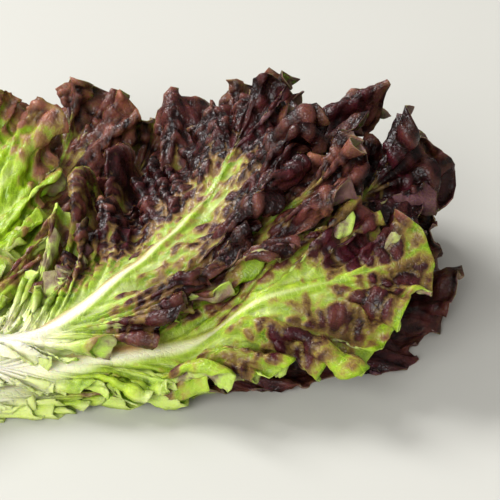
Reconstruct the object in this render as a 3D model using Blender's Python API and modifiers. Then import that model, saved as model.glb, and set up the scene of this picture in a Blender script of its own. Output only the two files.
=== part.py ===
"""Red leaf lettuce: one head, cut from the ground, lying opened like a fan on a flat surface.

A short cut stem lies at the back with its cut face towards -Y, and the leaves run from it towards +Y,
inner face up. Each leaf is a thin closed blade with a thick rib and a waved edge, and rests on the
leaves below it. Metres, +Z up. The origin is on the surface, under the middle of the head.
"""

import math
from dataclasses import dataclass

import bpy
import numpy as np

MM = 0.001

# Blade and rib, in millimetres, and where the rib ends, as a share of the leaf's length.
BLADE_THICKNESS = 0.7
RIB_THICKNESS = 2.2
RIB_HALF_WIDTH = 9.0
RIB_TIP_HALF_WIDTH = 1.2
RIB_END = 0.86
FOOT_HALF_WIDTH = 7.0

# Stem: a round bar with a cone at its leafy end, which lies along +Y and rises a little, in
# millimetres and degrees.
STEM_RADIUS = 17.0
STEM_SHOULDER = 38.0
STEM_TIP_RADIUS = 9.0
STEM_LENGTH = 68.0
STEM_EDGE = 1.5
STEM_SIDES = 40
STEM_BACK = -38.0
STEM_TILT = 6.0
FIT_GAP = 0.3


@dataclass
class Leaf:
    """One leaf, in degrees and millimetres.

    heading is anticlockwise from +Y, seen from above. start and side place the leaf's foot along and
    across the stem. wave and flap are the heights of the edge's waves and of its slower folds. A small
    base keeps the blade broad towards its foot, and skew makes its right side the broader one. rise and
    curl tilt the rib up from its foot and at its tip, and swing bends it sideways. cup and trough lift
    the blade beside the rib, and fall lets its edge hang.
    """

    name: str
    heading: float
    length: float
    width: float
    start: float = 0.0
    side: float = 0.0
    wave: float = 12.0
    waves: float = 6.5
    flap: float = 6.0
    base: float = 1.25
    skew: float = 0.0
    rise: float = 3.0
    curl: float = 15.0
    swing: float = 0.0
    cup: float = 0.08
    fall: float = 0.2
    trough: float = 0.0
    seed: int = 0


# From the lowest leaf to the uppermost.
LEAVES = (
    Leaf("outer_leaf_1", -4, 278, 156, start=-28, wave=10, rise=0.6, seed=1),
    Leaf("outer_leaf_2", -22, 226, 78, start=-28, side=6, wave=11, seed=2),
    Leaf("outer_leaf_3", 46, 214, 122, start=-28, side=-10, wave=10, curl=40, seed=3),
    Leaf("outer_leaf_4", -22, 302, 116, start=-26, side=6, seed=4),
    Leaf("outer_leaf_5", 32, 240, 128, start=-25, side=-8, curl=30, seed=5),
    Leaf("middle_leaf_1", -12, 316, 128, start=-20, side=3, curl=35, seed=6),
    Leaf("middle_leaf_2", 4, 276, 120, start=-16, side=-2, curl=35, seed=7),
    Leaf("middle_leaf_3", 17, 258, 112, start=-12, side=-7, curl=45, seed=8),
    Leaf("middle_leaf_4", -18, 286, 104, start=-6, side=10, wave=13, curl=50, seed=9),
    Leaf("middle_leaf_5", 28, 234, 92, start=-2, side=-11, curl=40, seed=10),
    Leaf("middle_leaf_6", -24, 258, 84, start=-1, side=11, wave=11, waves=7.5, curl=20, seed=11),
    Leaf("middle_leaf_7", -38, 232, 58, start=2, side=13, wave=9, waves=8, curl=25, seed=17),
    Leaf("inner_leaf_1", 43, 206, 86, start=6, side=-11, wave=9, curl=35, seed=12),
    Leaf("inner_leaf_2", -9, 272, 84, start=12, side=1, wave=12, waves=7.5, curl=40, seed=13),
    Leaf("inner_leaf_3", 0, 232, 94, start=14, side=-4, wave=12, waves=7.5, curl=30, trough=0.3, seed=14),
    Leaf("inner_leaf_4", -27, 204, 48, start=15, side=10, wave=9, curl=40, seed=15),
    Leaf(
        "inner_leaf_5", -22, 206, 112, start=12, side=11, wave=10, base=0.8, skew=0.05, swing=40, trough=0.2,
        seed=16,
    ),
)

# Mesh rows, from the edge to the rib: share of the way out from the rib, and segments on each side.
ROWS = ((1.0, 32), (0.68, 32), (0.34, 16), (0.0, 16))
RIB_SEGMENTS = 16

# Height map of the heap, in millimetres: its corner, its cells, and the room kept between leaves.
CORNER = (-200.0, -60.0)
CELL = 2.0
CELLS = (200, 195)
SPREAD = 3
LAYER_GAP = 0.45
PRESS = 1.5
SAG_SLOPE = 0.6


def smooth_step(t):
    t = np.clip(t, 0.0, 1.0)
    return t * t * (3.0 - 2.0 * t)


def unit(v):
    return v / np.maximum(np.linalg.norm(v, axis=-1, keepdims=True), 1e-12)


# One leaf


def outline(leaf, samples=400):
    """Half the flat leaf's edge from tip to base, spaced evenly: distances across and along it."""
    along = 0.5 + 0.5 * np.cos(np.linspace(0.0, math.pi, samples))
    profile = along**leaf.base * np.sqrt(np.maximum(1.0 - along**3.2, 0.0))
    across = profile / profile.max() * leaf.width / 2
    across = np.hypot(across, FOOT_HALF_WIDTH * (1.0 - smooth_step((along - 0.8) / 0.2)))
    points = np.stack([across, along * leaf.length], axis=1)
    steps = np.hypot(*np.diff(points, axis=0).T)
    share = np.concatenate([[0.0], np.cumsum(steps)]) / steps.sum()
    return share, points


def flat_place(leaf, edge, reach):
    """(across, along) on the flat leaf.

    edge runs from -1 at the base's left, over 0 at the tip, to 1 at the base's right. reach runs along
    a side vein, from 0 at the rib to 1 at the edge.
    """
    share, points = outline(leaf)
    side = np.sign(edge)
    edge_x = np.interp(np.abs(edge), share, points[:, 0])
    edge_y = np.interp(np.abs(edge), share, points[:, 1])
    vein_y = edge_y * (0.25 + (RIB_END - 0.25) * (edge_y / leaf.length) ** 2)
    across = side * edge_x * reach**1.12 * (1.0 + leaf.skew * side * smooth_step(edge_x / 30.0))
    return across, vein_y + (edge_y - vein_y) * reach**0.9


def to_rib_end(leaf, along):
    return np.clip(1.0 - along / (RIB_END * leaf.length), 0.0, 1.0)


def rib_half_width(leaf, along):
    return RIB_TIP_HALF_WIDTH + (RIB_HALF_WIDTH - RIB_TIP_HALF_WIDTH) * to_rib_end(leaf, along) ** 1.5


def thickness(leaf, edge, reach):
    across, along = flat_place(leaf, edge, reach)
    near_rib = np.clip(1.0 - np.abs(across) / rib_half_width(leaf, along), 0.0, 1.0)
    return BLADE_THICKNESS + RIB_THICKNESS * to_rib_end(leaf, along) ** 1.3 * near_rib


def spine(leaf, along):
    """The rib's place and its directions right and up, at a distance along the leaf."""
    steps = np.linspace(0.0, 1.15, 231)
    pitch = np.radians(leaf.rise + leaf.curl * np.clip((steps - 0.72) / 0.28, 0.0, 1.5) ** 2)
    heading = np.radians(leaf.heading + leaf.swing * steps)
    level = np.cos(pitch)
    ahead = np.stack([-np.sin(heading) * level, np.cos(heading) * level, np.sin(pitch)], axis=1)
    moves = (ahead[1:] + ahead[:-1]) / 2 * leaf.length * (steps[1] - steps[0])
    place = np.concatenate([np.zeros((1, 3)), np.cumsum(moves, axis=0)]) + (leaf.side, leaf.start, 0.0)
    at = np.clip(along / leaf.length, 0.0, 1.15)
    place = np.stack([np.interp(at, steps, place[:, k]) for k in range(3)], axis=-1)
    ahead = np.stack([np.interp(at, steps, ahead[:, k]) for k in range(3)], axis=-1)
    turn = np.interp(at, steps, heading)
    right = np.stack([np.cos(turn), np.sin(turn), np.zeros_like(turn)], axis=-1)
    return place, right, np.cross(right, ahead)


def calm_surface(leaf):
    """The leaf's upper face without waves, as a function of edge and reach."""

    def surface(edge, reach):
        across, along = flat_place(leaf, edge, reach)
        place, right, up = spine(leaf, along)
        share = np.abs(across) / (leaf.width / 2)
        # Beside the rib the blade rises like a trough, and then it falls away towards its edge.
        foot = 1.0 - smooth_step(along / leaf.length / 0.45)
        slope = (leaf.cup + leaf.trough * foot) * share - 1.6 * leaf.fall * share**2 * (1.0 - foot)
        height = np.abs(across) * np.sin(slope)
        return place + right * (across * np.cos(slope))[..., None] + up * height[..., None]

    return surface


def drift(rng, count=3):
    """A smooth random curve about 0, between about -1 and 1, over edge = -1 to 1."""
    turns = rng.uniform(0.4, 2.6, count)
    starts = rng.uniform(0.0, 2 * math.pi, count)
    sizes = rng.uniform(0.5, 1.0, count) / count

    def curve(edge):
        parts = zip(sizes, turns, starts)
        return sum(size * np.sin(turn * edge * math.pi + start) for size, turn, start in parts)

    return curve


def waved_surface(leaf, cover):
    """The leaf's upper face with its waves, which the weight of the leaves above it flattens."""
    rng = np.random.default_rng(leaf.seed)
    calm = calm_surface(leaf)
    wander, strength, flap = drift(rng), drift(rng), drift(rng, 4)
    start = rng.uniform(0.0, 2 * math.pi)

    def surface(edge, reach):
        step = 1e-3
        place = calm(edge, reach)
        forward = unit(calm(edge + step, reach) - calm(edge - step, reach))
        outward = calm(edge, reach + step) - calm(edge, np.maximum(reach - step, 0.0))
        normal = unit(np.cross(forward, outward))
        free = (1.0 - 0.9 * map_value(cover, place)) * (1.0 - smooth_step((np.abs(edge) - 0.3) / 0.7))
        turn = 2 * math.pi * leaf.waves * edge + 2.2 * wander(edge) + start
        tall = leaf.wave * (1.0 + 0.7 * strength(edge)) * free
        height = tall * np.sin(turn) * reach**1.6 + 2.0 * leaf.flap * flap(edge) * free * reach**2
        sway = -0.28 * tall * np.sin(2 * turn) * reach**2
        return place + normal * height[..., None] + forward * sway[..., None]

    return surface


# Height map of the heap


def map_cell(points):
    """The cell of the height map that each point is in."""
    return tuple(
        np.clip(((points[..., k] - CORNER[k]) / CELL).astype(int), 0, CELLS[k] - 1) for k in (0, 1)
    )


def map_value(field, points):
    """The field at these points, blended between cells."""
    x, y = (np.clip((points[..., k] - CORNER[k]) / CELL - 0.5, 0.0, CELLS[k] - 1.001) for k in (0, 1))
    i, j = x.astype(int), y.astype(int)
    u, v = x - i, y - j
    near = field[i, j] * (1 - v) + field[i, j + 1] * v
    far = field[i + 1, j] * (1 - v) + field[i + 1, j + 1] * v
    return near * (1 - u) + far * u


def shifted(field, axis, spread=SPREAD):
    """The field moved by each step up to spread cells either way along an axis."""
    pad = [(0, 0), (0, 0)]
    pad[axis] = (spread, spread)
    padded = np.pad(field, pad, mode="edge")
    return [np.take(padded, range(k, k + CELLS[axis]), axis=axis) for k in range(2 * spread + 1)]


def widened(field, spread=SPREAD):
    for axis in (0, 1):
        field = np.max(shifted(field, axis, spread), axis=0)
    return field


def blurred(field):
    for axis in (0, 1):
        field = np.mean(shifted(field, axis), axis=0)
    return field


def draped(field):
    """The lowest sheet over the field that nowhere falls away more steeply than SAG_SLOPE."""
    field = field.copy()
    drop = SAG_SLOPE * CELL
    for rows in (field, field.T, field[::-1], field[:, ::-1].T) * 2:
        for k in range(1, len(rows)):
            rows[k] = np.maximum(rows[k], rows[k - 1] - drop)
    return field


def covers(leaves):
    """For each leaf, the map of how much the leaves above it cover it, from 0 to 1."""
    edge, reach = np.meshgrid(np.linspace(-1, 1, 500), np.linspace(0, 1, 80), indexing="ij")
    above = np.zeros(CELLS)
    found = []
    for leaf in reversed(leaves):
        found.append(blurred(blurred(np.minimum(above / 1.5, 1.0))))
        seen = np.zeros(CELLS)
        seen[map_cell(calm_surface(leaf)(edge, reach))] = 1.0
        above = above + seen
    return found[::-1]


def lifted_surface(leaf, surface, lift):
    """The surface raised by the map lift, and kept off the ground by the leaf's thickness."""

    def place(edge, reach):
        points = surface(edge, reach)
        points[..., 2] = np.maximum(points[..., 2] + map_value(lift, points), thickness(leaf, edge, reach))
        return points

    return place


def leaf_rows(leaf):
    """The rows of the leaf's mesh from edge to rib, each as its edge and reach values."""
    rows = []
    for share, segments in ROWS:
        edge = np.linspace(-1, 1, 2 * segments + 1)
        across, along = flat_place(leaf, edge, np.ones_like(edge))
        rib = rib_half_width(leaf, along * 0.6) / np.maximum(np.abs(across), 1e-6)
        rib = np.clip(rib, 0.05, 0.6)
        rows.append((edge, rib + (1.0 - rib) * share))
    edge = np.linspace(-1, 1, 2 * RIB_SEGMENTS + 1)
    rows.append((edge, np.zeros_like(edge)))
    return rows


def leaf_faces(rows):
    """Triangles between the rows. The last row is folded together along the rib."""
    first = np.cumsum([0] + [len(edge) for edge, _ in rows])
    faces = []
    for outer, inner, o, i in zip(rows[:-1], rows[1:], first[:-1], first[1:]):
        count = len(inner[0]) - 1
        for k in range(count):
            if len(outer[0]) > len(inner[0]):
                a = o + 2 * k
                faces += [(a, i + k, a + 1), (a + 1, i + k, i + k + 1), (a + 1, i + k + 1, a + 2)]
            elif k < count // 2:
                faces += [(o + k, i + k, i + k + 1), (o + k, i + k + 1, o + k + 1)]
            else:
                faces += [(o + k, i + k, o + k + 1), (o + k + 1, i + k, i + k + 1)]
    last, end = first[-2], first[-1] - 1
    folded = {last + k: end - k for k in range((end - last) // 2)}
    faces = [tuple(folded.get(v, v) for v in face) for face in faces]
    return [face for face in faces if len(set(face)) == 3]


def leaf_corners(leaf):
    """Edge and reach of the corners of the leaf's mesh, and its triangles."""
    rows = leaf_rows(leaf)
    faces = leaf_faces(rows)
    used = np.unique(faces)
    edge = np.concatenate([row[0] for row in rows])[used]
    reach = np.concatenate([row[1] for row in rows])[used]
    return edge, reach, np.searchsorted(used, faces)


def steepness(normal):
    """How much deeper than its thickness a tilted sheet is, measured straight down."""
    return 1.0 / np.clip(np.abs(normal[..., 2]), 0.35, 1.0)


def smooth_samples(leaf, place):
    """Points all over the smooth leaf, and how deep it is under each."""
    edge, reach = np.meshgrid(np.linspace(-1, 1, 700), np.linspace(0, 1, 70), indexing="ij")
    points = place(edge, reach)
    normal = unit(np.cross(np.gradient(points, axis=0), np.gradient(points, axis=1)))
    return points, thickness(leaf, edge, reach) * steepness(normal)


def mesh_samples(leaf, place, parts=9):
    """The corners of the leaf's triangles, points all over each, and how deep the mesh is there."""
    edge, reach, faces = leaf_corners(leaf)
    corners = place(edge, reach)[faces]
    normal = np.cross(corners[:, 1] - corners[:, 0], corners[:, 2] - corners[:, 0])
    shares = [(i / parts, j / parts) for i in range(parts + 1) for j in range(parts + 1 - i)]
    shares = np.array([(u, v, 1.0 - u - v) for u, v in shares])
    points = np.einsum("sk,fkc->fsc", shares, corners)
    deep = thickness(leaf, edge, reach)[faces] @ shares.T
    return corners, points, deep * steepness(unit(normal))[:, None]


def shortfall(leaf, place, heap):
    """Map of how far the leaf still has to rise to clear the heap."""
    ground = np.where(heap > 0.0, heap, widened(heap, 1))
    floor = np.where(ground > 0.0, ground + LAYER_GAP, -PRESS)
    need = np.zeros(CELLS)
    points, deep = smooth_samples(leaf, place)
    cell = map_cell(points)
    np.maximum.at(need, cell, floor[cell] - points[..., 2] + deep)
    corners, points, deep = mesh_samples(leaf, place)
    worst = (floor[map_cell(points)] - points[..., 2] + deep).max(axis=1)
    for k in range(3):
        np.maximum.at(need, map_cell(corners[:, k]), worst)
    return need


def stack(leaves):
    """Each leaf's upper face as a function of edge and reach, resting on the ground and the leaves below."""
    heap = np.zeros(CELLS)
    placed = []
    for leaf, cover in zip(leaves, covers(leaves)):
        surface = waved_surface(leaf, cover)
        lift = blurred(draped(heap))
        for _ in range(12):
            need = shortfall(leaf, lifted_surface(leaf, surface, lift), heap)
            if need.max() < 0.1:
                break
            lift = lift + blurred(widened(need))
        place = lifted_surface(leaf, surface, lift)
        for points in (smooth_samples(leaf, place)[0], mesh_samples(leaf, place)[1]):
            np.maximum.at(heap, map_cell(points), points[..., 2])
        placed.append(place)
    return placed


# Objects


def clear_scene():
    for obj in list(bpy.data.objects):
        bpy.data.objects.remove(obj)


def new_collection(name):
    collection = bpy.data.collections.new(name)
    bpy.context.scene.collection.children.link(collection)
    return collection


def material(name, colour, roughness):
    found = bpy.data.materials.new(name)
    found.use_nodes = True
    shader = found.node_tree.nodes["Principled BSDF"]
    shader.inputs["Base Color"].default_value = (*colour, 1.0)
    shader.inputs["Roughness"].default_value = roughness
    shader.inputs["Metallic"].default_value = 0.0
    return found


def stem_object(name, gap, collection):
    """The stem, larger all over by gap: a turned profile laid down, with its cut face at -Y."""
    radius, shoulder, tip = STEM_RADIUS + gap, STEM_SHOULDER, STEM_TIP_RADIUS + gap
    top = STEM_LENGTH + gap
    profile = [
        (0.0, top),
        (tip - STEM_EDGE, top),
        (tip, top - STEM_EDGE),
        (radius, shoulder),
        (radius, STEM_EDGE - gap),
        (radius - STEM_EDGE, -gap),
        (0.0, -gap),
    ]
    mesh = bpy.data.meshes.new(name)
    points = [(x * MM, 0.0, z * MM) for x, z in profile]
    mesh.from_pydata(points, [(k, k + 1) for k in range(len(points) - 1)], [])
    obj = bpy.data.objects.new(name, mesh)
    turn = obj.modifiers.new("turn", "SCREW")
    turn.steps = turn.render_steps = STEM_SIDES
    turn.use_merge_vertices = True
    turn.merge_threshold = 0.00001
    obj.rotation_euler = (math.radians(STEM_TILT - 90.0), 0.0, 0.0)
    obj.location = (0.0, STEM_BACK * MM, STEM_RADIUS * math.cos(math.radians(STEM_TILT)) * MM)
    collection.objects.link(obj)
    return obj


def leaf_object(leaf, place, cutter, collection):
    """A leaf as a sheet with its thickness beneath it, cut off where it meets the stem."""
    edge, reach, faces = leaf_corners(leaf)
    mesh = bpy.data.meshes.new(leaf.name)
    mesh.from_pydata((place(edge, reach) * MM).tolist(), [], faces.tolist())
    obj = bpy.data.objects.new(leaf.name, mesh)
    collection.objects.link(obj)
    deep = thickness(leaf, edge, reach)
    group = obj.vertex_groups.new(name="thickness")
    for k, share in enumerate(deep / deep.max()):
        group.add([k], float(share), "REPLACE")
    solid = obj.modifiers.new("thickness", "SOLIDIFY")
    solid.thickness = float(deep.max()) * MM
    solid.offset = -1.0
    solid.vertex_group = group.name
    cut = obj.modifiers.new("stem", "BOOLEAN")
    cut.operation = "DIFFERENCE"
    cut.object = cutter
    return obj


def centred(objects, collection):
    """Hangs the objects on one empty, which moves the middle of the head over the origin."""
    bpy.context.view_layer.update()
    graph = bpy.context.evaluated_depsgraph_get()
    corners = []
    for obj in objects:
        if obj.hide_render:
            continue
        evaluated = obj.evaluated_get(graph)
        mesh = evaluated.to_mesh()
        corners.append(np.array([evaluated.matrix_world @ vertex.co for vertex in mesh.vertices]))
        evaluated.to_mesh_clear()
    corners = np.concatenate(corners)
    low, high = corners.min(axis=0), corners.max(axis=0)
    head = bpy.data.objects.new("head", None)
    collection.objects.link(head)
    for obj in objects:
        obj.parent = head
    head.location = (-(low[0] + high[0]) / 2, -(low[1] + high[1]) / 2, -low[2])


def main():
    clear_scene()
    head = new_collection("red_leaf_lettuce")
    cutters = new_collection("cutters")
    cutter = stem_object("stem_room", FIT_GAP, cutters)
    cutter.hide_render = True
    cutter.display_type = "WIRE"
    stem = stem_object("stem", 0.0, head)
    stem.data.materials.append(material("stem", (0.72, 0.74, 0.52), 0.5))
    layers = {
        "outer": material("outer_leaf", (0.20, 0.23, 0.06), 0.45),
        "middle": material("middle_leaf", (0.16, 0.12, 0.05), 0.45),
        "inner": material("inner_leaf", (0.10, 0.05, 0.05), 0.4),
    }
    leaves = []
    for leaf, place in zip(LEAVES, stack(LEAVES)):
        obj = leaf_object(leaf, place, cutter, head)
        obj.data.materials.append(layers[leaf.name.split("_")[0]])
        leaves.append(obj)
    centred([stem, cutter] + leaves, head)


main()
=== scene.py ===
# A head of red leaf lettuce, cut from the ground and laid on its side, opened like a fan.

import math
from dataclasses import dataclass

import bpy
import numpy as np
from mathutils import Euler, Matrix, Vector


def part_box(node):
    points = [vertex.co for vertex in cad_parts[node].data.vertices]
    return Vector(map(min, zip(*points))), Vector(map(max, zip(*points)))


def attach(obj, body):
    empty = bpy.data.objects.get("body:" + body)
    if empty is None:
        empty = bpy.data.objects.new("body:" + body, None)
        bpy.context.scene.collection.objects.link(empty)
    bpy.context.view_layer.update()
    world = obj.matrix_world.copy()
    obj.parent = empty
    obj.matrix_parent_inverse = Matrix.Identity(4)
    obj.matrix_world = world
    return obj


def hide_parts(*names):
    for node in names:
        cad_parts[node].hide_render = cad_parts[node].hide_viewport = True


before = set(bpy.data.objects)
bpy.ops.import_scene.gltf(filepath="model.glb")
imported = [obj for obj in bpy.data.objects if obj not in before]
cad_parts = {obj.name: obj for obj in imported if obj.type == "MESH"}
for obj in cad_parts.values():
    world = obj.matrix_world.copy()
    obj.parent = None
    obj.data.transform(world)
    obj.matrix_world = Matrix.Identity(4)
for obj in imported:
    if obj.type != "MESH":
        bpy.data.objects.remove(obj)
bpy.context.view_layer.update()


# The cut stem: the short core that every leaf grows from, cut across with a knife and laid down with the
# cut face towards -Y. Its flank keeps the ledges of outer leaves that were pulled off, and the milky
# juice has dried brown round the rim of the cut.

MM = 0.001
# Sizes in millimetres, and turns round the stem in radians, apart from the tilt in degrees.
STEM_RADIUS = 17.0
STEM_SHOULDER = 38.0
STEM_TIP_RADIUS = 9.0
STEM_LENGTH = 68.0
STEM_EDGE = 1.5
STEM_BACK = -38.0
STEM_TILT = 6.0
STEM_SIDES = 96
STEM_RINGS = 130
STEM_CLEARANCE = 0.2
# Lumps round the flank: how tall, how many round it, and how much they twist per mm of height.
LUMPS = ((0.35, 5, 0.12), (0.2, 9, -0.2))
# Ledges of pulled leaves: turn and height of each one's middle. They arch, with a raised line under a dent.
SCARS = ((0.4, 7.0), (1.7, 12.0), (3.0, 8.0), (4.3, 13.0), (5.5, 9.0), (1.0, 21.0), (2.4, 24.0), (4.9, 23.0))
SCAR_HALF_TURN = 0.95
SCAR_FADE = 0.2
SCAR_ARCH = 5.0
SCAR_ARCH_TURN = 0.75
SCAR_LINE_WIDTH = 1.1
SCAR_LINE_HEIGHT = 0.5
LEDGE_DENT = 0.9
LEDGE_MIDDLE = 1.5
LEDGE_HALF_HEIGHT = 3.0
# The relief of the flank fades towards the cut and the tip: where it ends, and over how much height.
FLANK_FOOT, FLANK_FOOT_FADE = 1.0, 3.0
FLANK_TIP, FLANK_TIP_FADE = 2.0, 4.0
# The cut face has fine rings round a sunken pith.
CUT_RIM = 1.2
RING_DEPTH = 0.25
RING_TURNS = 14
PITH_DEPTH = 0.5
PITH_EDGE, PITH_FADE = 0.55, 0.3


def smooth_step(t):
    t = np.clip(t, 0.0, 1.0)
    return t * t * (3.0 - 2.0 * t)


def colour(text):
    """A colour written as rrggbb, as the shader's linear values."""
    parts = [int(text[k:k + 2], 16) / 255 for k in (0, 2, 4)]
    return [part / 12.92 if part < 0.04045 else ((part + 0.055) / 1.055) ** 2.4 for part in parts] + [1.0]


def wired(tree, kind, output, sockets, **settings):
    """Adds a node, sets or joins its sockets, and gives back one of its outputs."""
    node = tree.nodes.new(kind)
    for name, value in settings.items():
        setattr(node, name, value)
    for name, value in sockets.items():
        if isinstance(value, bpy.types.NodeSocket):
            tree.links.new(value, node.inputs[name])
        else:
            node.inputs[name].default_value = value
    return node.outputs[output]


def mixed(tree, share, first, second):
    """The first colour where the share is 0, and the second where it is 1."""
    return wired(
        tree, "ShaderNodeMix", 2, {0: share, 6: first, 7: second}, data_type="RGBA", clamp_factor=True
    )


def maths(tree, operation, first, second=0.0):
    return wired(tree, "ShaderNodeMath", 0, {0: first, 1: second}, operation=operation)


def plus(tree, first, second):
    return maths(tree, "ADD", first, second)


def times(tree, first, second):
    return maths(tree, "MULTIPLY", first, second)


def ranged(tree, value, low, high, at_low, at_high):
    """A value that goes from at_low to at_high while the given one goes from low to high."""
    return wired(
        tree, "ShaderNodeMapRange", 0, {0: value, 1: low, 2: high, 3: at_low, 4: at_high}
    )


def bump(tree, height, strength, distance):
    return wired(
        tree, "ShaderNodeBump", 0, {"Strength": strength, "Distance": distance, "Height": height}
    )


def surface_value(tree, name):
    return wired(tree, "ShaderNodeAttribute", "Fac", {}, attribute_name=name)


def object_place(tree):
    return wired(tree, "ShaderNodeTexCoord", "Object", {})


def noise(tree, scale, detail):
    return wired(
        tree,
        "ShaderNodeTexNoise",
        0,
        {"Vector": object_place(tree), "Scale": scale, "Detail": detail, "Roughness": 0.55},
    )


def juicy(shader, weight, radius):
    """Lets light pass a few millimetres through the tissue, further for some colours."""
    shader.inputs["Subsurface Weight"].default_value = weight
    shader.inputs["Subsurface Radius"].default_value = radius
    shader.inputs["Subsurface Scale"].default_value = 3 * MM


def new_material(name):
    made = bpy.data.materials.new(name)
    made.use_nodes = True
    return made, made.node_tree, made.node_tree.nodes["Principled BSDF"]


def new_piece(name, points, faces, values):
    """A smooth mesh in metres, with its values stored on its points."""
    mesh = bpy.data.meshes.new(name)
    mesh.from_pydata(points.tolist(), [], faces)
    mesh.polygons.foreach_set("use_smooth", [True] * len(mesh.polygons))
    for label, value in values.items():
        mesh.attributes.new(label, "FLOAT", "POINT").data.foreach_set("value", value.astype(np.float32))
    piece = bpy.data.objects.new(name, mesh)
    bpy.context.scene.collection.objects.link(piece)
    return piece


profile = [(0.0, 0.0), (STEM_RADIUS - STEM_EDGE, 0.0), (STEM_RADIUS, STEM_EDGE), (STEM_RADIUS, STEM_SHOULDER)]
profile += [(STEM_TIP_RADIUS, STEM_LENGTH - STEM_EDGE), (STEM_TIP_RADIUS - STEM_EDGE, STEM_LENGTH)]
profile = np.array(profile + [(0.0, STEM_LENGTH)])
run = np.concatenate([[0.0], np.cumsum(np.hypot(*np.diff(profile, axis=0).T))])
at = np.linspace(0.0, run[-1], STEM_RINGS)
radius, height = (np.interp(at, run, profile[:, k]) for k in (0, 1))
radius[[0, -1]] = 0.0
around = np.linspace(0.0, 2 * math.pi, STEM_SIDES, endpoint=False)
turn, radius = np.meshgrid(around, radius, indexing="ij")
height = np.broadcast_to(height, radius.shape)
scar = np.zeros_like(radius)
bulge = sum(tall * np.sin(count * turn + twist * height) for tall, count, twist in LUMPS)
for middle, level in SCARS:
    aside = (turn - middle + math.pi) % (2 * math.pi) - math.pi
    climb = height - level - SCAR_ARCH * (aside / SCAR_ARCH_TURN) ** 2
    inside = smooth_step((SCAR_HALF_TURN - np.abs(aside)) / SCAR_FADE)
    scar = np.maximum(scar, inside * np.exp(-((climb / SCAR_LINE_WIDTH) ** 2)))
    above = smooth_step(1.0 - np.abs(climb - LEDGE_MIDDLE) / LEDGE_HALF_HEIGHT)
    bulge = bulge - inside * LEDGE_DENT * above
flank = smooth_step((height - FLANK_FOOT) / FLANK_FOOT_FADE)
flank = flank * smooth_step((STEM_LENGTH - FLANK_TIP - height) / FLANK_TIP_FADE)
ring = radius / STEM_RADIUS
cut = smooth_step(CUT_RIM - height)
pith = smooth_step((PITH_EDGE - ring) / PITH_FADE)
dent = cut * (RING_DEPTH * np.sin(RING_TURNS * radius / STEM_RADIUS) - PITH_DEPTH * pith)
radius = np.maximum(radius + (bulge + SCAR_LINE_HEIGHT * scar) * flank, 0.0)
lying = np.stack([radius * np.cos(turn), radius * np.sin(turn), height - dent], axis=-1)
lean = np.array(Euler((math.radians(STEM_TILT - 90.0), 0.0, 0.0)).to_matrix())
lift = STEM_RADIUS * math.cos(math.radians(STEM_TILT))
lying = lying @ lean.T + (0.0, STEM_BACK, lift)
lying[..., 2] = np.maximum(lying[..., 2], STEM_CLEARANCE)

# How far the middle of the head is from the stem, taken from the solid stem.
low, high = (np.array(corner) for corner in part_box("stem"))
plain = np.stack([profile[:, 0] * 0.0, profile[:, 0], profile[:, 1]], axis=-1)
plain = np.concatenate([plain, plain * (1, -1, 1)]) @ lean.T + (0.0, STEM_BACK, lift)
shift = np.array([(low[0] + high[0]) / 2, high[1] - plain[:, 1].max() * MM, high[2] - plain[:, 2].max() * MM])

index = np.arange(radius.size).reshape(radius.shape)
turned = np.roll(index, -1, axis=0)
faces = np.stack([index[:, :-1], turned[:, :-1], turned[:, 1:], index[:, 1:]], axis=-1).reshape(-1, 4)
stem = new_piece(
    "stem_core",
    lying.reshape(-1, 3) * MM + shift,
    faces[:, ::-1].tolist(),
    {"cut": cut.reshape(-1), "ring": ring.reshape(-1), "scar": scar.reshape(-1)},
)

stem_skin, tree, shader = new_material("cut_stem")
mottle = noise(tree, 160, 5.0)
flesh = mixed(tree, mottle, colour("dfe0b4"), colour("c3cc8e"))
flesh = mixed(tree, times(tree, surface_value(tree, "scar"), 0.7), flesh, colour("9a7a4e"))
growth = maths(tree, "SINE", times(tree, surface_value(tree, "ring"), 22.0))
growth = plus(tree, times(tree, growth, 0.12), mottle)
face = mixed(tree, growth, colour("efe9c9"), colour("cbbf83"))
dried = ranged(tree, surface_value(tree, "ring"), 0.72, 0.98, 0.0, 0.75)
face = mixed(tree, dried, face, colour("a8743f"))
tree.links.new(mixed(tree, surface_value(tree, "cut"), flesh, face), shader.inputs["Base Color"])
tree.links.new(ranged(tree, mottle, 0.3, 0.7, 0.38, 0.6), shader.inputs["Roughness"])
tree.links.new(bump(tree, noise(tree, 420, 4.0), 0.5, 0.8 * MM), shader.inputs["Normal"])
juicy(shader, 0.15, (1.0, 0.9, 0.4))
stem.data.materials.append(stem_skin)
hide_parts("stem")
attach(stem, "root")


# The leaves: each is one thin blade on a thick pale midrib, widest towards its rounded tip, with an edge
# that grew longer than the blade and so frills in folds of three sizes. Between its veins the blade is
# puffed up in blisters. They lie one on another, and sink into what is under them.

# Blade and rib, in millimetres, and where the rib ends, as a share of the leaf's length.
BLADE_THICKNESS = 0.7
RIB_THICKNESS = 2.2
RIB_HALF_WIDTH = 9.0
RIB_TIP_HALF_WIDTH = 1.2
RIB_END = 0.86
FOOT_HALF_WIDTH = 7.0
# Height map of the heap, in millimetres: its corner, its cells, and the room kept between leaves.
CORNER = (-200.0, -60.0)
CELL = 2.0
CELLS = (200, 195)
SPREAD = 3
LAYER_GAP = 1.2
PRESS = 1.5
SAG_SLOPE = 0.6


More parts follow.
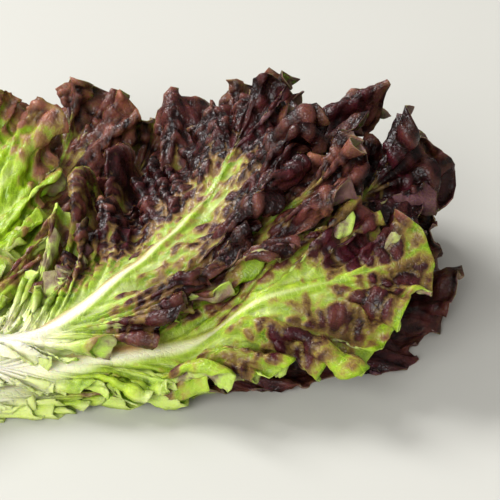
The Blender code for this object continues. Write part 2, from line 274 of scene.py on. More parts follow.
@dataclass
class Leaf:
    """One leaf, in degrees and millimetres, as in the solid model, and then how it looks.

    purple is the share of its length where its purple starts. bronzed says how much of the purple is
    bronze, green_edge how green its frills stay, and deep how dark its purple is. segments counts the
    steps of its mesh from the tip to the foot.
    """

    name: str
    heading: float
    length: float
    width: float
    start: float = 0.0
    side: float = 0.0
    wave: float = 12.0
    waves: float = 6.5
    flap: float = 6.0
    base: float = 1.25
    skew: float = 0.0
    rise: float = 3.0
    curl: float = 15.0
    swing: float = 0.0
    cup: float = 0.08
    fall: float = 0.2
    trough: float = 0.0
    seed: int = 0
    purple: float = 0.3
    bronzed: float = 0.0
    green_edge: float = 0.0
    deep: float = 0.0
    segments: int = 120


# From the lowest leaf to the uppermost.
LEAVES = (
    Leaf("outer_leaf_1", -4, 278, 156, start=-28, wave=10, rise=0.6, seed=1,
         purple=0.3, segments=90),
    Leaf("outer_leaf_2", -22, 226, 78, start=-28, side=6, wave=11, seed=2,
         purple=1.3, green_edge=0.8, segments=150),
    Leaf("outer_leaf_3", 46, 214, 122, start=-28, side=-10, wave=10, curl=40, seed=3,
         purple=0.4, segments=110),
    Leaf("outer_leaf_4", -22, 302, 116, start=-26, side=6, seed=4,
         purple=0.3, segments=140),
    Leaf("outer_leaf_5", 32, 240, 128, start=-25, side=-8, curl=30, seed=5,
         purple=0.25, bronzed=0.4, segments=120),
    Leaf("middle_leaf_1", -12, 316, 128, start=-20, side=3, curl=35, seed=6,
         purple=0.3, segments=150),
    Leaf("middle_leaf_2", 4, 276, 120, start=-16, side=-2, curl=35, seed=7,
         purple=0.2, segments=140),
    Leaf("middle_leaf_3", 17, 258, 112, start=-12, side=-7, curl=45, seed=8,
         purple=0.25, bronzed=0.3, green_edge=0.1, segments=140),
    Leaf("middle_leaf_4", -18, 286, 104, start=-6, side=10, wave=13, curl=50, seed=9,
         purple=0.25, deep=0.12, segments=155),
    Leaf("middle_leaf_5", 28, 234, 92, start=-2, side=-11, curl=40, seed=10,
         purple=0.3, bronzed=0.35, green_edge=0.7, segments=150),
    Leaf("middle_leaf_6", -24, 258, 84, start=-1, side=11, wave=11, waves=7.5, curl=20, seed=11,
         purple=0.32, deep=0.25, segments=205),
    Leaf("middle_leaf_7", -38, 232, 58, start=2, side=13, wave=9, waves=8, curl=25, seed=17,
         purple=0.5, green_edge=1.7, deep=0.12, segments=230),
    Leaf("inner_leaf_1", 43, 206, 86, start=6, side=-11, wave=9, curl=35, seed=12,
         purple=0.95, bronzed=0.5, segments=165),
    Leaf("inner_leaf_2", -9, 272, 84, start=12, side=1, wave=12, waves=7.5, curl=40, seed=13,
         purple=0.15, deep=0.08, segments=160),
    Leaf("inner_leaf_3", 0, 232, 94, start=14, side=-4, wave=12, waves=7.5, curl=30, trough=0.3, seed=14,
         purple=0.25, green_edge=0.6, deep=0.08, segments=175),
    Leaf("inner_leaf_4", -27, 204, 48, start=15, side=10, wave=9, curl=40, seed=15,
         purple=0.3, bronzed=0.2, green_edge=0.9, deep=0.1, segments=160),
    Leaf("inner_leaf_5", -22, 206, 112, start=12, side=11, wave=10, base=0.8, swing=40, skew=0.05,
         trough=0.2, seed=16, purple=0.29, deep=0.25, segments=255),
)


def unit(v):
    return v / np.maximum(np.linalg.norm(v, axis=-1, keepdims=True), 1e-12)


def outline(leaf, samples=400):
    """Half the flat leaf's edge from tip to base, spaced evenly: distances across and along it."""
    along = 0.5 + 0.5 * np.cos(np.linspace(0.0, math.pi, samples))
    profile = along**leaf.base * np.sqrt(np.maximum(1.0 - along**3.2, 0.0))
    across = profile / profile.max() * leaf.width / 2
    across = np.hypot(across, FOOT_HALF_WIDTH * (1.0 - smooth_step((along - 0.8) / 0.2)))
    points = np.stack([across, along * leaf.length], axis=1)
    steps = np.hypot(*np.diff(points, axis=0).T)
    share = np.concatenate([[0.0], np.cumsum(steps)]) / steps.sum()
    return share, points


def flat_place(leaf, edge, reach):
    """(across, along) on the flat leaf.

    edge runs from -1 at the base's left, over 0 at the tip, to 1 at the base's right. reach runs along
    a side vein, from 0 at the rib to 1 at the edge.
    """
    share, points = outline(leaf)
    side = np.sign(edge)
    edge_x = np.interp(np.abs(edge), share, points[:, 0])
    edge_y = np.interp(np.abs(edge), share, points[:, 1])
    vein_y = edge_y * (0.25 + (RIB_END - 0.25) * (edge_y / leaf.length) ** 2)
    across = side * edge_x * reach**1.12 * (1.0 + leaf.skew * side * smooth_step(edge_x / 30.0))
    return across, vein_y + (edge_y - vein_y) * reach**0.9


def to_rib_end(leaf, along):
    return np.clip(1.0 - along / (RIB_END * leaf.length), 0.0, 1.0)


def rib_half_width(leaf, along):
    return RIB_TIP_HALF_WIDTH + (RIB_HALF_WIDTH - RIB_TIP_HALF_WIDTH) * to_rib_end(leaf, along) ** 1.5


def thickness(leaf, edge, reach):
    across, along = flat_place(leaf, edge, reach)
    near_rib = np.clip(1.0 - np.abs(across) / rib_half_width(leaf, along), 0.0, 1.0)
    return BLADE_THICKNESS + RIB_THICKNESS * to_rib_end(leaf, along) ** 1.3 * near_rib


def spine(leaf, along):
    """The rib's place and its directions right and up, at a distance along the leaf."""
    steps = np.linspace(0.0, 1.15, 231)
    pitch = np.radians(leaf.rise + leaf.curl * np.clip((steps - 0.72) / 0.28, 0.0, 1.5) ** 2)
    heading = np.radians(leaf.heading + leaf.swing * steps)
    level = np.cos(pitch)
    ahead = np.stack([-np.sin(heading) * level, np.cos(heading) * level, np.sin(pitch)], axis=1)
    moves = (ahead[1:] + ahead[:-1]) / 2 * leaf.length * (steps[1] - steps[0])
    place = np.concatenate([np.zeros((1, 3)), np.cumsum(moves, axis=0)]) + (leaf.side, leaf.start, 0.0)
    at = np.clip(along / leaf.length, 0.0, 1.15)
    place = np.stack([np.interp(at, steps, place[:, k]) for k in range(3)], axis=-1)
    ahead = np.stack([np.interp(at, steps, ahead[:, k]) for k in range(3)], axis=-1)
    turn = np.interp(at, steps, heading)
    right = np.stack([np.cos(turn), np.sin(turn), np.zeros_like(turn)], axis=-1)
    return place, right, np.cross(right, ahead)


def calm_surface(leaf):
    """The leaf's upper face without waves, as a function of edge and reach."""

    def surface(edge, reach):
        across, along = flat_place(leaf, edge, reach)
        place, right, up = spine(leaf, along)
        share = np.abs(across) / (leaf.width / 2)
        # Beside the rib the blade rises like a trough, and then it falls away towards its edge.
        foot = 1.0 - smooth_step(along / leaf.length / 0.45)
        slope = (leaf.cup + leaf.trough * foot) * share - 1.6 * leaf.fall * share**2 * (1.0 - foot)
        height = np.abs(across) * np.sin(slope)
        return place + right * (across * np.cos(slope))[..., None] + up * height[..., None]

    return surface


def drift(rng, count=3):
    """A smooth random curve about 0, between about -1 and 1, over edge = -1 to 1."""
    turns = rng.uniform(0.4, 2.6, count)
    starts = rng.uniform(0.0, 2 * math.pi, count)
    sizes = rng.uniform(0.5, 1.0, count) / count

    def curve(edge):
        parts = zip(sizes, turns, starts)
        return sum(size * np.sin(turn * edge * math.pi + start) for size, turn, start in parts)

    return curve


def map_cell(points):
    """The cell of the heap's height map that each point is in."""
    return tuple(
        np.clip(((points[..., k] - CORNER[k]) / CELL).astype(int), 0, CELLS[k] - 1) for k in (0, 1)
    )


def map_value(field, points):
    """The field at these points, blended between cells."""
    x, y = (np.clip((points[..., k] - CORNER[k]) / CELL - 0.5, 0.0, CELLS[k] - 1.001) for k in (0, 1))
    i, j = x.astype(int), y.astype(int)
    u, v = x - i, y - j
    near = field[i, j] * (1 - v) + field[i, j + 1] * v
    far = field[i + 1, j] * (1 - v) + field[i + 1, j + 1] * v
    return near * (1 - u) + far * u


def shifted(field, axis):
    pad = [(0, 0), (0, 0)]
    pad[axis] = (SPREAD, SPREAD)
    padded = np.pad(field, pad, mode="edge")
    return [np.take(padded, range(k, k + CELLS[axis]), axis=axis) for k in range(2 * SPREAD + 1)]


def widened(field):
    for axis in (0, 1):
        field = np.max(shifted(field, axis), axis=0)
    return field


def blurred(field):
    for axis in (0, 1):
        field = np.mean(shifted(field, axis), axis=0)
    return field


def draped(field):
    """The lowest sheet over the field that nowhere falls away more steeply than SAG_SLOPE."""
    field = field.copy()
    drop = SAG_SLOPE * CELL
    for rows in (field, field.T, field[::-1], field[:, ::-1].T) * 2:
        for k in range(1, len(rows)):
            rows[k] = np.maximum(rows[k], rows[k - 1] - drop)
    return field


def waved_surface(leaf, cover):
    """The leaf's upper face with its waves, which the weight of the leaves above it flattens."""
    rng = np.random.default_rng(leaf.seed)
    calm = calm_surface(leaf)
    wander, strength, flap = drift(rng), drift(rng), drift(rng, 4)
    start = rng.uniform(0.0, 2 * math.pi)

    def surface(edge, reach):
        step = 1e-3
        place = calm(edge, reach)
        forward = unit(calm(edge + step, reach) - calm(edge - step, reach))
        outward = calm(edge, reach + step) - calm(edge, np.maximum(reach - step, 0.0))
        normal = unit(np.cross(forward, outward))
        free = (1.0 - 0.9 * map_value(cover, place)) * (1.0 - smooth_step((np.abs(edge) - 0.3) / 0.7))
        turn = 2 * math.pi * leaf.waves * edge + 2.2 * wander(edge) + start
        tall = leaf.wave * (1.0 + 0.7 * strength(edge)) * free
        height = tall * np.sin(turn) * reach**1.6 + 2.0 * leaf.flap * flap(edge) * free * reach**2
        sway = -0.28 * tall * np.sin(2 * turn) * reach**2
        return place + normal * height[..., None] + forward * sway[..., None]

    return surface


def covers(leaves):
    """For each leaf, the map of how much the leaves above it cover it, from 0 to 1."""
    edge, reach = np.meshgrid(np.linspace(-1, 1, 500), np.linspace(0, 1, 80), indexing="ij")
    above = np.zeros(CELLS)
    found = []
    for leaf in reversed(leaves):
        found.append(blurred(blurred(np.minimum(above / 1.5, 1.0))))
        seen = np.zeros(CELLS)
        seen[map_cell(calm_surface(leaf)(edge, reach))] = 1.0
        above = above + seen
    return found[::-1]


def stack(leaves):
    """Each leaf's upper face, resting on the ground and the leaves below, and how much it is covered."""
    edge, reach = np.meshgrid(np.linspace(-1, 1, 700), np.linspace(0, 1, 70), indexing="ij")
    heap = np.zeros(CELLS)
    placed = []
    for leaf, cover in zip(leaves, covers(leaves)):
        surface = waved_surface(leaf, cover)
        deep = thickness(leaf, edge, reach)
        free = surface(edge, reach)
        lift = blurred(draped(heap))
        floor = np.where(heap > 0.0, heap + LAYER_GAP, -PRESS)
        for _ in range(12):
            points = free.copy()
            points[..., 2] = np.maximum(points[..., 2] + map_value(lift, points), deep)
            normal = unit(np.cross(np.gradient(points, axis=0), np.gradient(points, axis=1)))
            down = deep / np.clip(np.abs(normal[..., 2]), 0.35, 1.0)
            cell = map_cell(points)
            need = np.zeros(CELLS)
            np.maximum.at(need, cell, floor[cell] - points[..., 2] + down)
            if need.max() < 0.1:
                break
            lift = lift + blurred(widened(need))
        np.maximum.at(heap, cell, points[..., 2])

        def place(edge, reach, leaf=leaf, surface=surface, lift=lift):
            points = surface(edge, reach)
            raised = points[..., 2] + map_value(lift, points)
            points[..., 2] = np.maximum(raised, thickness(leaf, edge, reach))
            return points

        placed.append((place, cover))
    return placed


# Random heights repeat after so many points. They are read from a place well inside their tables.
LINE_POINTS = 4096
LINE_START = 500
SHEET_POINTS = 256
SHEET_START = 90


def line_noise(x, width, seed):
    """Smooth random heights along a line, from -1 to 1, one per width."""
    table = np.random.default_rng(seed).uniform(-1, 1, LINE_POINTS)
    x = x / width + LINE_START
    whole = np.floor(x).astype(int)
    share = smooth_step(x - whole)
    return table[whole % LINE_POINTS] * (1 - share) + table[(whole + 1) % LINE_POINTS] * share


def sheet_noise(x, y, width, length, seed):
    """Smooth random hills and hollows over a sheet, from about -1 to 1, one per width and length."""
    angle = np.random.default_rng(seed).uniform(0.0, 2 * math.pi, (SHEET_POINTS, SHEET_POINTS))
    x, y = x / width + SHEET_START, y / length + SHEET_START
    i, j = np.floor(x).astype(int), np.floor(y).astype(int)
    u, v = x - i, y - j
    total = 0.0
    for a in (0, 1):
        for b in (0, 1):
            way = angle[(i + a) % SHEET_POINTS, (j + b) % SHEET_POINTS]
            slope = np.cos(way) * (u - a) + np.sin(way) * (v - b)
            total = total + slope * smooth_step(1 - np.abs(u - a)) * smooth_step(1 - np.abs(v - b))
    return 1.5 * total


def puffs(x, y, width, length, seed):
    """Blisters with a crease between them: 0 in the crease and 1 on top, one per width and length."""
    jog = np.random.default_rng(seed).uniform(0.1, 0.9, (2, SHEET_POINTS, SHEET_POINTS))
    x, y = x / width + SHEET_START, y / length + SHEET_START
    i, j = np.floor(x).astype(int), np.floor(y).astype(int)
    nearest = np.full(x.shape, 9.0)
    second = np.full(x.shape, 9.0)
    for a in (-1, 0, 1):
        for b in (-1, 0, 1):
            u, v = jog[:, (i + a) % SHEET_POINTS, (j + b) % SHEET_POINTS]
            far = np.hypot(x - i - a - u, y - j - b - v)
            second = np.minimum(second, np.maximum(nearest, far))
            nearest = np.minimum(nearest, far)
    return smooth_step((second - nearest) / 0.6)


def faces_up(points):
    return unit(np.cross(np.gradient(points, axis=0), np.gradient(points, axis=1)))


# The fine mesh: how its points crowd, and how many rows it has from the rib to the edge.
TIP_CROWDING = 1.1
EDGE_CROWDING = 0.9
ROWS_PER_SEGMENT = 0.26
# A leaf is calm at its foot and where other leaves cover it. One with a coarse mesh lies under others,
# and its smallest forms are left lower.
FOOT_SHARE = 0.2
COVERED_CALM = 0.75
COARSE_SEGMENTS = 90
FINE_SEGMENTS = 190
LEAST_SMALL = 0.15
SEED_STEP = 13


@dataclass
class Grid:
    """The points of a leaf's fine mesh on the flat leaf, as shares of it or in millimetres.

    around runs along the edge from the tip, and to_edge along a side vein to the edge. far is the share
    of the leaf's length. foot is 0 at the base and 1 elsewhere, and free is lower where leaves lie on
    this one. rib is half the width of the rib. key starts the leaf's seeds, and small is how much of the
    smallest forms its mesh can carry.
    """

    edge: np.ndarray
    reach: np.ndarray
    across: np.ndarray
    along: np.ndarray
    around: np.ndarray
    to_edge: np.ndarray
    far: np.ndarray
    foot: np.ndarray
    free: np.ndarray
    rib: np.ndarray
    key: int
    small: float

    def uneven(self, middle, spread, width, draw):
        """About middle, more or less by up to spread, changing once per width along the edge."""
        return middle + spread * line_noise(self.around, width, self.key + draw)


def laid_out(leaf, place, cover):
    """The leaf's fine grid, and where its points are before it has any small form."""
    steps = np.linspace(-1, 1, 2 * leaf.segments + 1)
    rows = np.linspace(0, 1, int(leaf.segments * ROWS_PER_SEGMENT) + 1)
    edge, reach = np.meshgrid(
        np.sign(steps) * np.abs(steps) ** TIP_CROWDING, rows**EDGE_CROWDING, indexing="ij"
    )
    points = place(edge, reach)
    _, flat = outline(leaf)
    across, along = flat_place(leaf, edge, reach)
    rim = np.stack(flat_place(leaf, edge, np.ones_like(edge)))
    vein = np.hypot(*(rim - np.stack(flat_place(leaf, edge, np.zeros_like(edge)))))
    foot = smooth_step((1 - np.abs(edge)) / FOOT_SHARE)
    fineness = (leaf.segments - COARSE_SEGMENTS) / (FINE_SEGMENTS - COARSE_SEGMENTS)
    grid = Grid(
        edge=edge,
        reach=reach,
        across=across,
        along=along,
        around=edge * np.hypot(*np.diff(flat, axis=0).T).sum(),
        to_edge=(1 - reach) * vein,
        far=along / leaf.length,
        foot=foot,
        free=foot * (1.0 - COVERED_CALM * map_value(cover, points)),
        rib=rib_half_width(leaf, along),
        key=leaf.seed * SEED_STEP,
        small=np.clip(fineness, LEAST_SMALL, 1.0),
    )
    return grid, points


# Forms along the edge, in mm: how tall each is, how wide, and how far in from the edge it reaches.
LOBE, LOBE_WIDTH, LOBE_REACH = 4.4, 13, 9
TOOTH, TOOTH_WIDTH = 2.8, 6
FRILL, FRILL_WIDTH, FRILL_REACH = 3.0, 13, 20
FINE_FRILL = 4.2
FRILL_SWAY = 0.35
RUFFLE, RUFFLE_WIDTH, RUFFLE_REACH = 2.0, 7, 6


def frilled(grid, points):
    """The points with the lobes of the edge, and with its frills of the second and third size."""
    lobe = grid.uneven(0, LOBE, width=LOBE_WIDTH, draw=1)
    lobe = lobe + grid.uneven(0, TOOTH * grid.small, width=TOOTH_WIDTH, draw=2)
    outward = unit(np.gradient(points, axis=1))
    points = points + outward * (lobe * np.exp(-grid.to_edge / LOBE_REACH) * grid.foot)[..., None]

    forward = unit(np.gradient(points, axis=0))
    turn = 2 * math.pi * (grid.around / FRILL_WIDTH + grid.uneven(0, 0.6, width=24, draw=3))
    tall = (FRILL + FINE_FRILL * grid.small) * grid.uneven(0.75, 0.6, width=35, draw=4)
    tall = tall * np.exp(-((grid.to_edge / FRILL_REACH) ** 1.4)) * grid.free
    points = points + faces_up(points) * (tall * np.sin(turn))[..., None]
    points = points - forward * (FRILL_SWAY * tall * np.sin(2 * turn))[..., None]

    turn = 2 * math.pi * (grid.around / RUFFLE_WIDTH + grid.uneven(0, 0.5, width=12, draw=5))
    tall = RUFFLE * grid.small * grid.uneven(0.7, 0.6, width=20, draw=6)
    tall = tall * np.exp(-grid.to_edge / RUFFLE_REACH) * grid.free
    return points + faces_up(points) * (tall * np.sin(turn))[..., None]


# Forms of the blade, in mm: how tall each is, how wide and how long. The side veins swerve, and the
# forms swerve with them.
SWERVE, SWERVE_WIDTH = 3.0, 16
FOLD_BEND = 0.4
CRUMPLE, CRUMPLE_WIDTH = 2.6, 24
FOLD, FOLD_WIDTH, VEIN_FOLD_LENGTH, FOLD_LENGTH = 6.0, 9, 20, 10
SMALL_FOLD, SMALL_FOLD_WIDTH, SMALL_FOLD_LENGTH = 1.5, 4.6, 5.4
BLISTER, BLISTER_WIDTH, BLISTER_LENGTH = 1.9, 7, 8
PLEAT, PLEAT_WIDTH, PLEAT_LEVEL = 2.8, 10, 0.6
FURROW, FURROW_SPACING, FURROW_HALF_WIDTH = 2.4, 18, 1.8
CREASE_POWER = 0.8
CALM_BESIDE_RIB = 2.0
CALM_RIM, CALM_RIM_WIDTH = 0.4, 7
# What folds and blisters add is taken off again, so that the blade stays where it is.
MEAN_RISE = 3.65


@dataclass
class Forms:
    """How strong each form of a leaf's blade is at each point, and the point's swerved place."""

    x: np.ndarray
    y: np.ndarray
    beside: np.ndarray
    fold: np.ndarray
    small_fold: np.ndarray
    blister: np.ndarray
    furrow: np.ndarray
    pleat: np.ndarray


def formed(grid):
    """Folds with sharp creases, blisters, and the side veins with the pleats between them."""
    around, across, along, key = grid.around, grid.across, grid.along, grid.key
    swerve = sheet_noise(across, along, SWERVE_WIDTH, SWERVE_WIDTH, key + 7)
    x = across + SWERVE * swerve
    y = along + SWERVE * sheet_noise(across, along, SWERVE_WIDTH, SWERVE_WIDTH, key + 8)
    u = around / FOLD_WIDTH + FOLD_BEND * swerve
    v = grid.to_edge / VEIN_FOLD_LENGTH + FOLD_BEND * swerve
    fold = 0.7 * np.abs(sheet_noise(u, v, 1, 1, key + 10)) ** CREASE_POWER
    fold = fold + 0.45 * np.abs(sheet_noise(x, y, FOLD_WIDTH, FOLD_LENGTH, key + 10)) ** CREASE_POWER
    small_fold = np.abs(sheet_noise(x, y, SMALL_FOLD_WIDTH, SMALL_FOLD_LENGTH, key + 11)) ** CREASE_POWER
    lane = around / FURROW_SPACING + grid.uneven(0, 0.3, width=40, draw=13)
    aside = np.abs(lane - np.round(lane)) * FURROW_SPACING * np.clip(grid.reach, 0.15, 1)
    furrow = np.exp(-((aside / FURROW_HALF_WIDTH) ** 2)) * (1 - 0.6 * grid.reach)
    pleat = np.abs(np.sin(math.pi * (around / PLEAT_WIDTH + grid.uneven(0, 0.8, width=16, draw=14))))
    pleat = (pleat - PLEAT_LEVEL) * (1 - smooth_step((grid.far - 0.3) / 0.4))
    return Forms(
        x=x,
        y=y,
        beside=smooth_step((np.abs(across) / (grid.rib + CALM_BESIDE_RIB) - 0.5) / 0.5) * grid.free,
        fold=fold,
        small_fold=small_fold,
        blister=puffs(x, y, BLISTER_WIDTH, BLISTER_LENGTH, key + 12),
        furrow=furrow,
        pleat=pleat * smooth_step(grid.reach / 0.45),
    )


def puffed(grid, forms, points):
    """The points with the blade's forms, which are lower towards the foot and at the very edge."""
    outer_part = 0.25 + 0.6 * smooth_step((grid.far - 0.15) / 0.45)
    rim = 1 - CALM_RIM * np.exp(-grid.to_edge / CALM_RIM_WIDTH)
    outer_part = outer_part * np.clip(0.3 + grid.reach, 0, 1) * rim
    rise = FOLD * forms.fold + SMALL_FOLD * forms.small_fold + BLISTER * forms.blister - MEAN_RISE
    crumple = sheet_noise(forms.x, forms.y, CRUMPLE_WIDTH, CRUMPLE_WIDTH, grid.key + 9)
    rise = CRUMPLE * crumple + rise * outer_part
    rise = rise + PLEAT * forms.pleat * smooth_step((grid.far - 0.05) / 0.25) - FURROW * forms.furrow
    return points + faces_up(points) * (rise * forms.beside)[..., None]


# Marks on the skin, in mm.
PATCH_WIDTH = 24
SPOT_WIDTH = 8
EDGE_MARK = 10
THIN_EDGE = 5
TINT_WIDTH = 32
BROWN_HALF_WIDTH = 2.6
BROWN_WIDTH, BROWN_LENGTH = 12, 30


def skin_values(leaf, grid, forms):
    """What colours each point of the leaf: how red, pale, bronze and brown it is, and how lit or shaded it is
    painted by its own forms, from 0 to 1.
    """
    x, y, far, reach, key = forms.x, forms.y, grid.far, grid.reach, grid.key
    at_edge = np.exp(-grid.to_edge / EDGE_MARK)

    # Purple lies on top of the blisters and towards the tip, and green stays in the creases.
    patch = 0.5 * sheet_noise(x, y, PATCH_WIDTH, PATCH_WIDTH, key + 15)
    patch = patch + 0.4 * sheet_noise(x, y, SPOT_WIDTH, SPOT_WIDTH, key + 16)
    red = (far - leaf.purple) / 0.4 + 1.7 * (reach - 0.42) * smooth_step(far / 0.35) + patch
    red = red + 0.8 * (forms.blister - 0.6) + 1.2 * (forms.fold - 0.4)
    red = red - 1.2 * forms.furrow * (1 - 0.6 * far)
    green_frill = at_edge * grid.uneven(0.7, 0.7, width=26, draw=17)
    green_frill = green_frill * (1 - 0.45 * smooth_step((far - 0.6) / 0.3))
    red = np.clip(0.42 * (red - 2.4 * leaf.green_edge * green_frill) + 0.4, 0, 1)
    red = red * smooth_step((far - 0.16) / 0.2)

    # Painted light and shade: the tops of all forms are painted lighter, and the valleys between them painted
    # darker, where shade falls.
    puff = 0.02 - leaf.deep + 0.4 * forms.blister + 0.6 * forms.fold
    puff = np.clip(puff + 0.5 * forms.small_fold + 0.5 * forms.pleat, 0, 1)
    valley_shade = forms.beside * np.clip(1 - puff / 0.5, 0, 1)

    # The rib, the foot, the furrows and the lower frills are pale; the foot and the frills less so in the
    # valleys, as painted shade.
    pale_rib = np.exp(-((np.abs(grid.across) / (grid.rib * 0.8)) ** 2)) * (1.1 - 1.1 * far)
    pale_foot = smooth_step((0.32 - far) / 0.22) * (1 - 0.4 * reach) * (1 - 0.35 * valley_shade)
    pale_furrow = 0.35 * forms.furrow * (1 - red) * forms.beside
    pale_frill = 0.4 * at_edge * (1 - valley_shade) * (1 - red) * smooth_step((0.65 - far) / 0.3)
    pale = np.max([pale_rib, pale_foot, pale_furrow, pale_frill], axis=0)

    # Where the edge is thin, its purple turns to bronze.
    thin = 0.9 * np.exp(-grid.to_edge / THIN_EDGE) * np.clip(grid.uneven(0.5, 1, width=20, draw=20), 0, 1)
    tint = 0.1 + 0.3 * sheet_noise(x, y, TINT_WIDTH, TINT_WIDTH, key + 18) + thin + leaf.bronzed

    # A brown line runs along one side of the rib, broken here and there.
    blush = np.exp(-(((grid.across + 0.75 * grid.rib) / BROWN_HALF_WIDTH) ** 2))
    blush = blush * smooth_step((0.75 - far) / 0.4) * smooth_step((far - 0.1) / 0.1)
    blush = blush * np.clip(0.6 + 0.9 * sheet_noise(x, y, BROWN_WIDTH, BROWN_LENGTH, key + 19), 0, 1)
    values = {"blush": blush, "red": red, "pale": pale, "puff": puff, "tint": tint}
    return {label: np.clip(value, 0, 1) for label, value in values.items()}


def leaf_piece(leaf, place, cover, upper, under):
    """Makes one leaf, as a sheet with its looks above and below that is thickened downwards."""
    grid, points = laid_out(leaf, place, cover)
    forms = formed(grid)
    points = puffed(grid, forms, frilled(grid, points))
    deep = thickness(leaf, grid.edge, grid.reach)
    points[..., 2] = np.maximum(points[..., 2], deep)

    # The two halves of the grid meet along the rib.
    half = leaf.segments
    index = np.arange(deep.size).reshape(deep.shape)
    index[half + 1:, 0] = index[:half, 0][::-1]
    corners = np.stack([index[:-1, :-1], index[:-1, 1:], index[1:, 1:], index[1:, :-1]], axis=-1)
    used, corners = np.unique(corners.reshape(-1, 4)[:, ::-1], return_inverse=True)
    faces = [tuple(dict.fromkeys(face)) for face in corners.reshape(-1, 4).tolist()]
    values = skin_values(leaf, grid, forms)
    piece = new_piece(
        leaf.name.replace("leaf", "blade"),
        points.reshape(-1, 3)[used] * MM + shift,
        [face for face in faces if len(face) > 2],
        {label: value.reshape(-1)[used] for label, value in values.items()},
    )

    deep = np.round(deep.reshape(-1)[used], 2)
    group = piece.vertex_groups.new(name="thickness")
    for level in np.unique(deep):
        group.add(np.flatnonzero(deep == level).tolist(), float(level / deep.max()), "REPLACE")
    solid = piece.modifiers.new("thickness", "SOLIDIFY")
    solid.thickness = float(deep.max()) * MM
    solid.offset = -1.0
    solid.vertex_group = group.name
    solid.material_offset = 1
    solid.material_offset_rim = 1
    piece.data.materials.append(upper)
    piece.data.materials.append(under)
    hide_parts(leaf.name)
    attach(piece, "root")


# Leaf skin: green under a purple layer that thins to bronze at its border, darker on the blisters, with
# painted shade in the creases between the forms and painted light on their tops.
skin = bpy.data.node_groups.new("leaf_skin", "ShaderNodeTree")
SKIN_VALUES = ("Red", "Pale", "Puff", "Tint", "Blush")
SKIN_COLOURS = ("Green", "Light green", "Bronze", "Wine", "Deep purple", "Rib")
for name in SKIN_VALUES:
    skin.interface.new_socket(name, in_out="INPUT", socket_type="NodeSocketFloat")
for name in SKIN_COLOURS:
    skin.interface.new_socket(name, in_out="INPUT", socket_type="NodeSocketColor")
skin.interface.new_socket("Colour", in_out="OUTPUT", socket_type="NodeSocketColor")
skin.interface.new_socket("Gloss", in_out="OUTPUT", socket_type="NodeSocketFloat")
skin.interface.new_socket("Height", in_out="OUTPUT", socket_type="NodeSocketFloat")
given = skin.nodes.new("NodeGroupInput").outputs
result = skin.nodes.new("NodeGroupOutput").inputs
broad = noise(skin, 60, 5.0)
fine = noise(skin, 300, 5.0)
# The finest veins are a net of thin lines.
cells = wired(
    skin,
    "ShaderNodeTexVoronoi",
    0,
    {"Vector": object_place(skin), "Scale": 330.0},
    feature="DISTANCE_TO_EDGE",
)
net = ranged(skin, cells, 0.0, 0.12, 1.0, 0.0)

# Painted light and shade: the green is lighter on the tops of the forms and darker in the creases, and its
# tone also varies at random.
lit = plus(skin, times(skin, given["Puff"], 0.8), times(skin, broad, 0.8))
green = mixed(skin, plus(skin, lit, -0.3), given["Green"], given["Light green"])
green = mixed(skin, times(skin, net, 0.3), green, given["Light green"])
green = mixed(skin, times(skin, given["Pale"], 1.4), green, colour("d0e07a"))
green = mixed(skin, ranged(skin, given["Pale"], 0.2, 0.9, 0.0, 1.0), green, given["Rib"])
green = mixed(skin, times(skin, given["Blush"], 0.85), green, colour("a8714f"))

# Painted shade: the purple is near black in the creases and turns to wine on the lit tops, with a random
# change of tone.
shade_and_tone = plus(skin, times(skin, given["Puff"], 1.7), times(skin, broad, 0.9))
wine = mixed(skin, given["Tint"], given["Wine"], given["Bronze"])
purple = mixed(skin, plus(skin, shade_and_tone, -0.95), given["Deep purple"], wine)
purple = mixed(skin, times(skin, net, 0.2), purple, given["Wine"])

red = plus(skin, given["Red"], times(skin, plus(skin, fine, -0.5), 0.55))
border = times(skin, ranged(skin, red, 0.18, 0.45, 0.0, 1.0), 0.75)
blade = mixed(skin, border, green, given["Bronze"])
blade = mixed(skin, ranged(skin, red, 0.38, 0.66, 0.0, 1.0), blade, purple)
skin.links.new(blade, result["Colour"])
skin.links.new(plus(skin, fine, times(skin, broad, 0.5)), result["Gloss"])

# The blade is finely wrinkled, less so on the rib and at the foot of the leaf.
wrinkle = maths(skin, "ABSOLUTE", plus(skin, noise(skin, 150, 2.5), -0.5))
wrinkle = times(skin, wrinkle, ranged(skin, given["Pale"], 0.1, 0.9, 1.4, 0.6))
relief = plus(skin, times(skin, fine, 0.25), times(skin, net, -0.15))
skin.links.new(plus(skin, relief, wrinkle), result["Height"])


def leaf_material(name, rough, **colours):
    """One face of a leaf: the leaf skin in its own colours, from matt to waxy."""
    made, tree, shader = new_material(name)
    coat = tree.nodes.new("ShaderNodeGroup")
    coat.node_tree = skin
    for label in SKIN_VALUES:
        tree.links.new(surface_value(tree, label.lower()), coat.inputs[label])
    for label in SKIN_COLOURS:
        coat.inputs[label].default_value = colour(colours[label.replace(" ", "_").lower()])
    tree.links.new(coat.outputs["Colour"], shader.inputs["Base Color"])
    gloss = ranged(tree, coat.outputs["Gloss"], 0.5, 1.0, rough - 0.06, rough + 0.1)
    tree.links.new(gloss, shader.inputs["Roughness"])
    tree.links.new(bump(tree, coat.outputs["Height"], 0.6, 1.5 * MM), shader.inputs["Normal"])
    shader.inputs["Specular IOR Level"].default_value = 0.22
    juicy(shader, 0.45, (0.7, 1.0, 0.15))
    return made


upper_faces = stack(LEAVES)


def layer(name):
    """The leaves of one layer, each with its upper face and how much it is covered."""
    return [(leaf, *face) for leaf, face in zip(LEAVES, upper_faces) if leaf.name.startswith(name)]


# Outer leaves: the five widest and oldest, pressed flat under the rest. They grow from the foot of the
# stem, and their blades are greener inside, with the darkest tips.

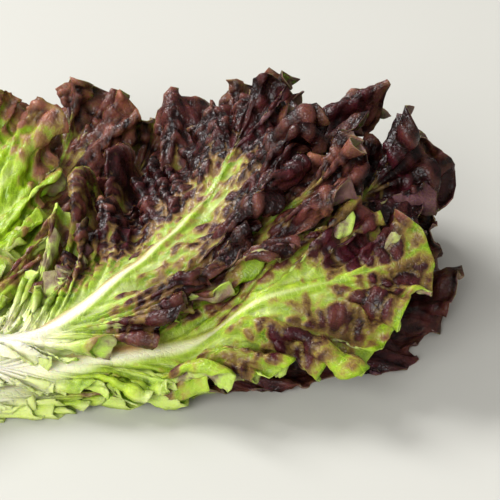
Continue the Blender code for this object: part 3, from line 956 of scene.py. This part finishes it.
outer_upper = leaf_material(
    "outer_leaf_face", 0.3, green="405c0a", light_green="b0d032", bronze="865442", wine="44161c",
    deep_purple="120404", rib="fbfadb",
)
outer_under = leaf_material(
    "outer_leaf_back", 0.6, green="a6c44a", light_green="cce67a", bronze="93806a", wine="8a6262",
    deep_purple="553538", rib="e2eab4",
)
for leaf, place, cover in layer("outer"):
    leaf_piece(leaf, place, cover, outer_upper, outer_under)


# Middle leaves: seven long ones that make most of the dark frilled mass, a little redder than the outer
# ones. They grow from the middle of the stem and lie on the outer leaves.

middle_upper = leaf_material(
    "middle_leaf_face", 0.27, green="48660a", light_green="b8d836", bronze="905844", wine="48171f",
    deep_purple="140504", rib="fdfbe0",
)
middle_under = leaf_material(
    "middle_leaf_back", 0.6, green="a6c44a", light_green="cce67a", bronze="93806a", wine="8a6262",
    deep_purple="553538", rib="e2eab4",
)
for leaf, place, cover in layer("middle"):
    leaf_piece(leaf, place, cover, middle_upper, middle_under)


# Inner leaves: five young, waxy ones with the brightest green and the clearest blisters. They grow from
# the tip of the stem and lie loose on top of the heap.

inner_upper = leaf_material(
    "inner_leaf_face", 0.25, green="3a5806", light_green="a2c41c", bronze="9c6650", wine="4c1b20",
    deep_purple="160504", rib="fdfbe2",
)
inner_under = leaf_material(
    "inner_leaf_back", 0.6, green="9cbc40", light_green="c2de6c", bronze="9a8570", wine="8f6666",
    deep_purple="5a3a3c", rib="e6edbc",
)
for leaf, place, cover in layer("inner"):
    leaf_piece(leaf, place, cover, inner_upper, inner_under)


# The studio: a plain pale floor, a broad soft window light from behind and to the left, a weaker one off
# a pale wall in front, and a camera that looks down over the leaves.

# Angles in degrees and lengths in metres, apart from the lens in millimetres.
AZIMUTH, ELEVATION = 43.0, 33.0
LENS = 100
CAMERA_DISTANCE = 0.69
TARGET_HEIGHT, TARGET_RIGHT, TARGET_UP = 0.015, 0.1535, 0.063
FLOOR_SIZE = 8
MIDDLE = Vector((0.0, 0.0, 0.03))

turn, tilt = math.radians(AZIMUTH), math.radians(ELEVATION)
back = Vector((math.sin(turn) * math.cos(tilt), -math.cos(turn) * math.cos(tilt), math.sin(tilt)))
right = Vector((math.cos(turn), math.sin(turn), 0.0))
away = Vector((-math.sin(turn), math.cos(turn), 0.0))
target = Vector(shift) + Vector((0.0, 0.0, TARGET_HEIGHT))
target = target + right * TARGET_RIGHT + back.cross(right) * TARGET_UP
camera = bpy.data.objects.new("camera", bpy.data.cameras.new("camera"))
camera.data.lens = LENS
camera.location = target + back * CAMERA_DISTANCE
camera.rotation_euler = (-back).to_track_quat("-Z", "Y").to_euler()
bpy.context.scene.collection.objects.link(camera)
bpy.context.scene.camera = camera

bpy.ops.mesh.primitive_plane_add(size=FLOOR_SIZE, location=(0, 0, 0))
floor = bpy.context.object
floor.name = "floor"
floor_paint, tree, shader = new_material("floor_paint")
paint = mixed(tree, noise(tree, 3, 3.0), colour("c6c5be"), colour("c1c0b9"))
tree.links.new(paint, shader.inputs["Base Color"])
shader.inputs["Roughness"].default_value = 0.75
floor.data.materials.append(floor_paint)


def soft_light(name, size, power, place):
    """A square light that faces the middle of the leaves."""
    light = bpy.data.objects.new(name, bpy.data.lights.new(name, "AREA"))
    light.data.size = size
    light.data.energy = power
    light.location = place
    light.rotation_euler = (MIDDLE - light.location).to_track_quat("-Z", "Y").to_euler()
    bpy.context.scene.collection.objects.link(light)


soft_light("window", size=1.8, power=196, place=MIDDLE - right * 2.7 + away * 1.5 + Vector((0, 0, 2.6)))
soft_light("wall", size=2.2, power=115, place=MIDDLE - right * 1.4 - away * 2.6 + Vector((0, 0, 1.8)))
world = bpy.data.worlds.new("room")
world.use_nodes = True
world.node_tree.nodes["Background"].inputs["Color"].default_value = (1.0, 0.98, 0.95, 1.0)
world.node_tree.nodes["Background"].inputs["Strength"].default_value = 0.38
bpy.context.scene.world = world
bpy.context.scene.view_settings.view_transform = "Standard"
